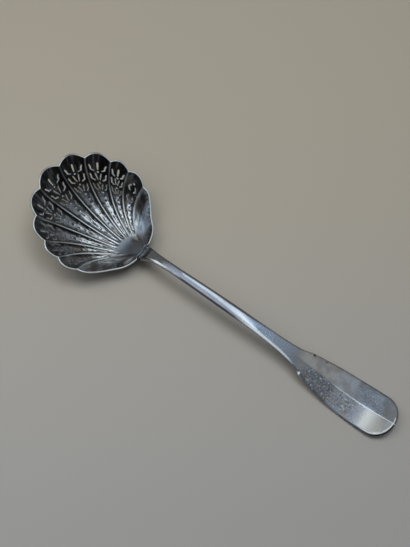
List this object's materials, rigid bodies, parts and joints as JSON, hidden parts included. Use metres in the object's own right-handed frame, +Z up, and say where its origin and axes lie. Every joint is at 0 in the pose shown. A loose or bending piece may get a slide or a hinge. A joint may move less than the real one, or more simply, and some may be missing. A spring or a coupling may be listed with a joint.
{
  "type": "sugar sifter spoon",
  "caption": "Silver sugar sifter spoon: a fluted scallop-shell bowl pierced with palmettes, slits and dots, soldered to a plain fiddle-pattern handle.",
  "frame": {"origin": "on the table under the middle of the spoon's length and width", "axes": "+X from the bowl to the handle's end, +Y across the spoon, +Z up from the table"},
  "size_m": [0.2092, 0.0612, 0.0315],
  "materials": {
    "silver_bowl": "polished, tarnished in the recesses",
    "silver_handle": "worn polish with fine scratches",
    "solder": "dull"
  },
  "bodies": {
    "root": {"shell_bowl": "silver_bowl", "handle": "silver_handle", "solder_seam": "solder"}
  },
  "joints": []
}
